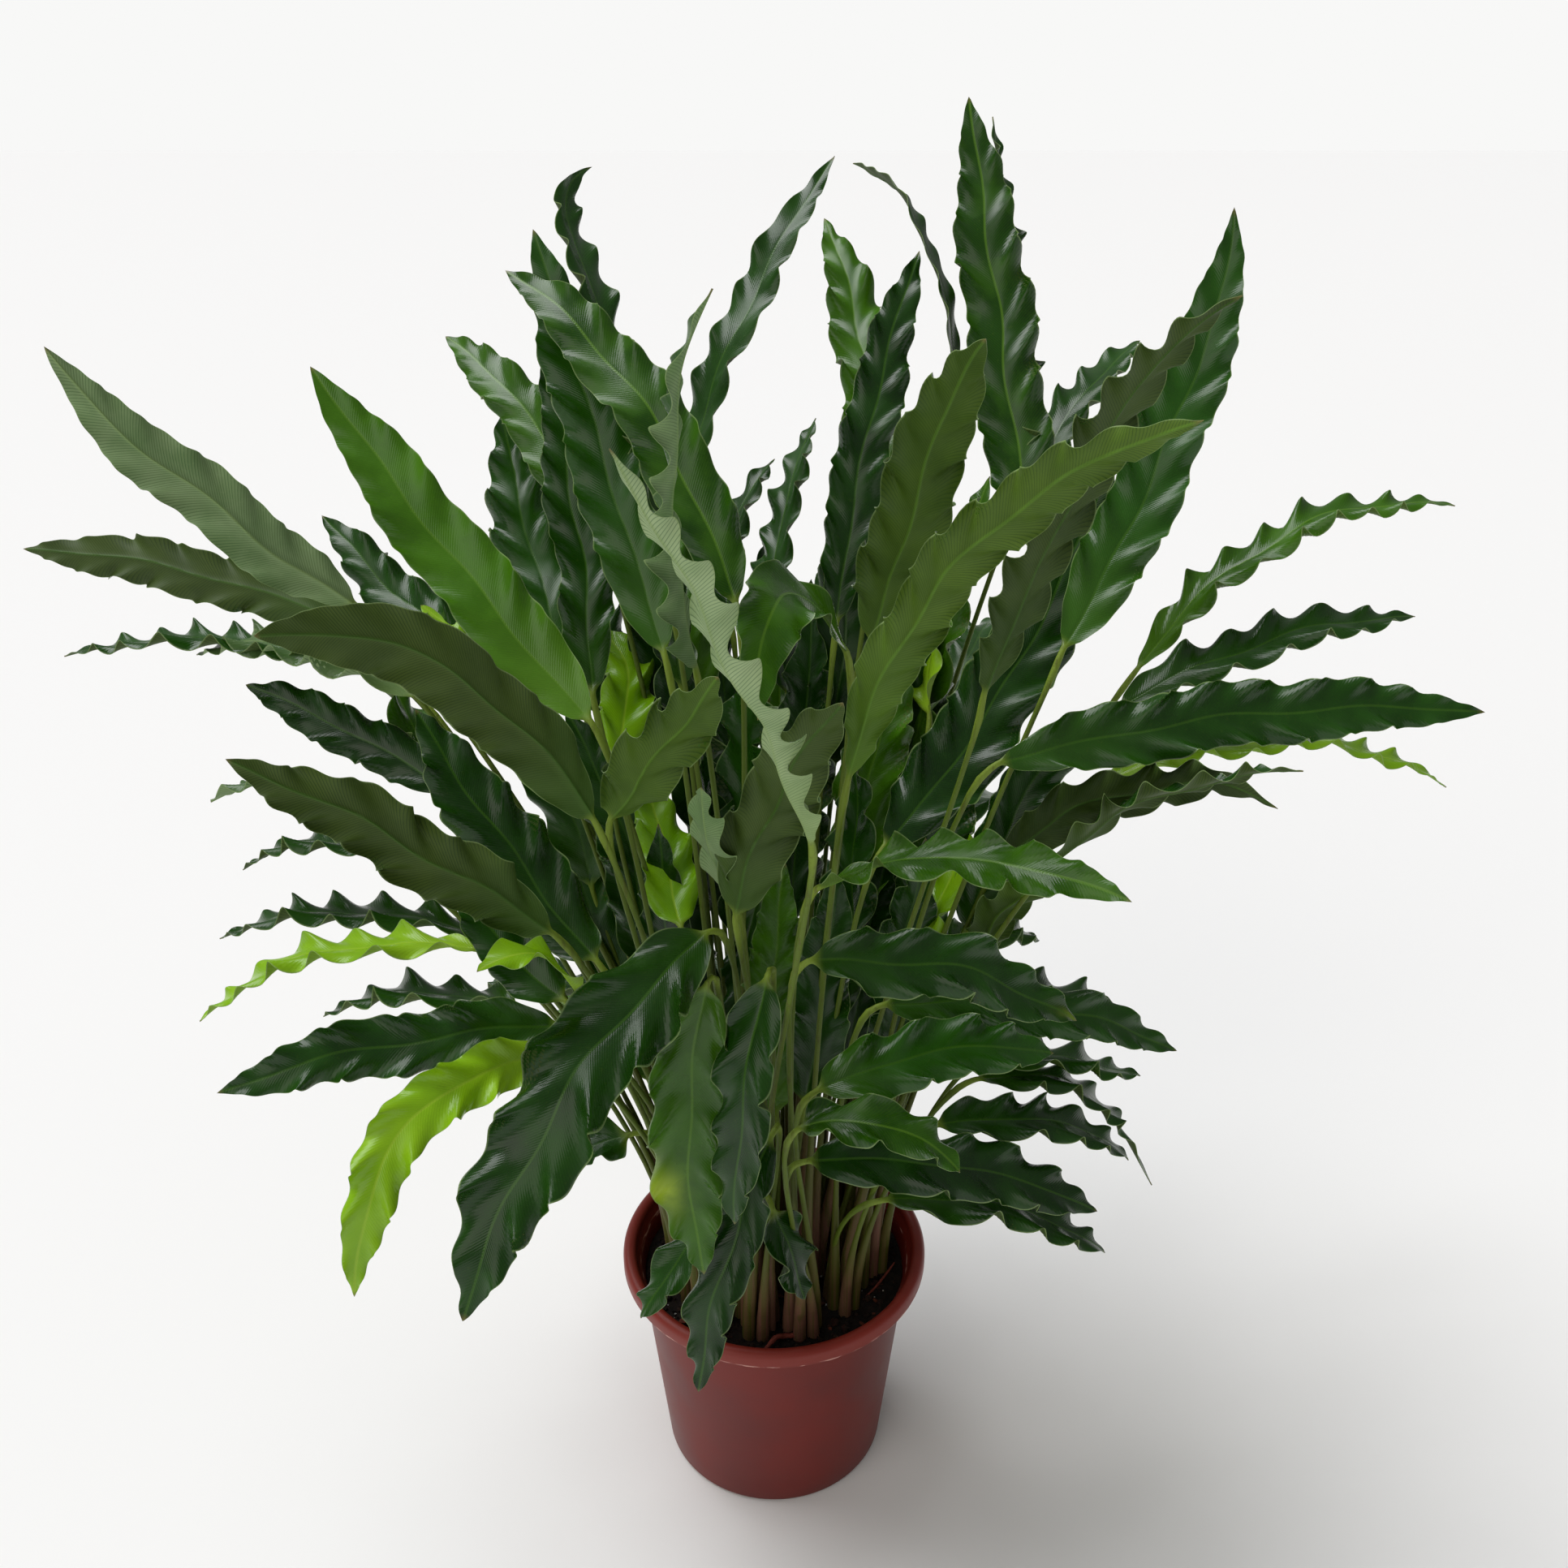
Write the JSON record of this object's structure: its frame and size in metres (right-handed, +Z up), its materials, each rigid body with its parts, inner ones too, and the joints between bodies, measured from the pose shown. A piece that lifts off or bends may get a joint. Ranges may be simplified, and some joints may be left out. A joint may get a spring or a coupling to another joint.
{
  "type": "potted calathea",
  "caption": "Tall bushy foliage plant with long narrow wavy-edged leaves on upright stalks, growing in soil in a round tapered plastic nursery pot with a rolled rim.",
  "frame": {"origin": "centre of the pot's flat underside", "axes": "+Z up along the pot's axis, -Y towards the plant's front, +X to the right seen from the front"},
  "size_m": [0.91, 0.6535, 0.888],
  "materials": {
    "pot_plastic": "matte",
    "potting_soil": "matte",
    "leaf_mature": "satin",
    "leaf_fresh": "satin",
    "leaf_young": "satin",
    "leaf_pale": "satin"
  },
  "bodies": {
    "root": {"pot": "pot_plastic", "soil": "potting_soil", "leaf_01": "leaf_mature", "leaf_02": "leaf_fresh", "leaf_03": "leaf_mature", "leaf_04": "leaf_mature", "leaf_05": "leaf_pale", "leaf_06": "leaf_mature", "leaf_07": "leaf_mature", "leaf_08": "leaf_mature", "leaf_09": "leaf_fresh", "leaf_10": "leaf_fresh", "leaf_11": "leaf_fresh", "leaf_12": "leaf_mature", "leaf_13": "leaf_mature", "leaf_14": "leaf_mature", "leaf_15": "leaf_young", "leaf_16": "leaf_fresh", "leaf_17": "leaf_mature", "leaf_18": "leaf_young", "leaf_19": "leaf_mature", "leaf_20": "leaf_mature", "leaf_21": "leaf_mature", "leaf_22": "leaf_mature", "leaf_23": "leaf_mature", "leaf_24": "leaf_mature", "leaf_25": "leaf_mature", "leaf_26": "leaf_fresh", "leaf_27": "leaf_mature", "leaf_28": "leaf_fresh", "leaf_29": "leaf_mature", "leaf_30": "leaf_mature", "leaf_31": "leaf_mature", "leaf_32": "leaf_mature", "leaf_33": "leaf_young", "leaf_34": "leaf_mature", "leaf_35": "leaf_fresh", "leaf_36": "leaf_mature", "leaf_37": "leaf_mature", "leaf_38": "leaf_pale", "leaf_39": "leaf_mature", "leaf_40": "leaf_mature", "leaf_41": "leaf_mature", "leaf_42": "leaf_fresh", "leaf_43": "leaf_mature", "leaf_44": "leaf_pale", "leaf_45": "leaf_mature", "leaf_46": "leaf_mature", "leaf_47": "leaf_fresh", "leaf_48": "leaf_mature", "leaf_49": "leaf_mature", "leaf_50": "leaf_fresh", "leaf_51": "leaf_mature", "leaf_52": "leaf_fresh", "leaf_53": "leaf_mature", "leaf_54": "leaf_mature", "leaf_55": "leaf_mature", "leaf_56": "leaf_fresh", "leaf_57": "leaf_mature", "leaf_58": "leaf_mature"}
  },
  "joints": []
}
